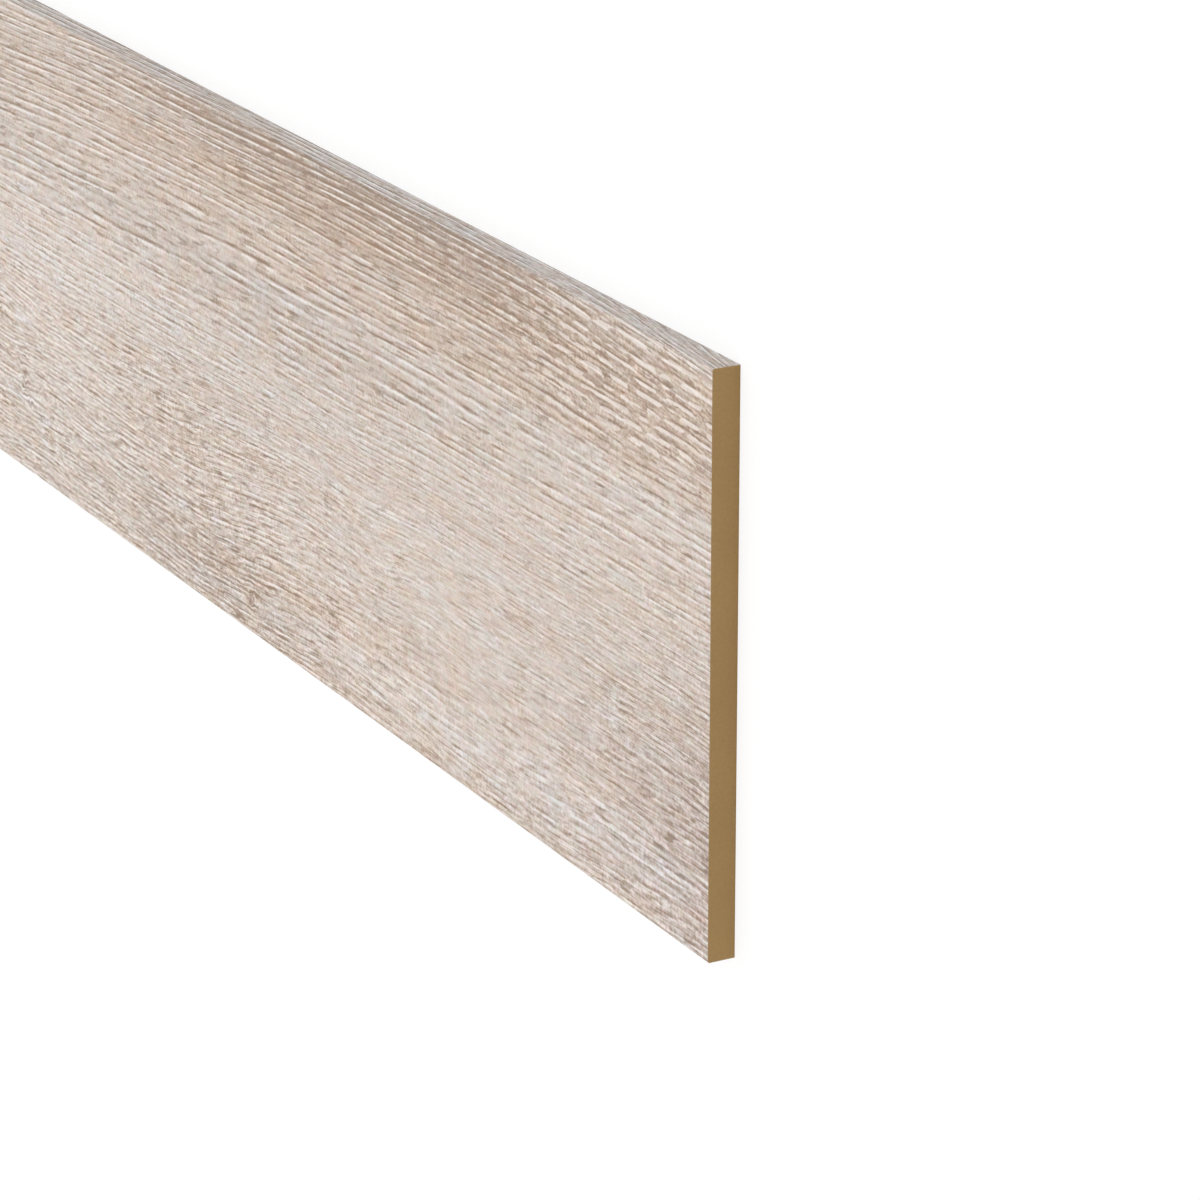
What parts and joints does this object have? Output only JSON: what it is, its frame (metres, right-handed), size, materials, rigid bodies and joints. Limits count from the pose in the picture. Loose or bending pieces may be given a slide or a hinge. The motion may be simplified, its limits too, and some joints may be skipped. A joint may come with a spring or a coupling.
{
  "type": "stair riser board",
  "caption": "Flat stair riser board: fibreboard core with a limed-oak decor foil wrapped over its face and long edges, sawn square at the ends.",
  "frame": {"origin": "on the floor, under the middle of the board, which lies on its back with the decor face up", "axes": "+X along the board, +Y across it towards the edge that meets the tread above, +Z out of the decor face"},
  "size_m": [1.3, 0.2, 0.01],
  "materials": {
    "fibreboard": "matte",
    "decor": "matte"
  },
  "bodies": {
    "root": {"fibreboard_core": "fibreboard", "decor_foil": "decor"}
  },
  "joints": []
}
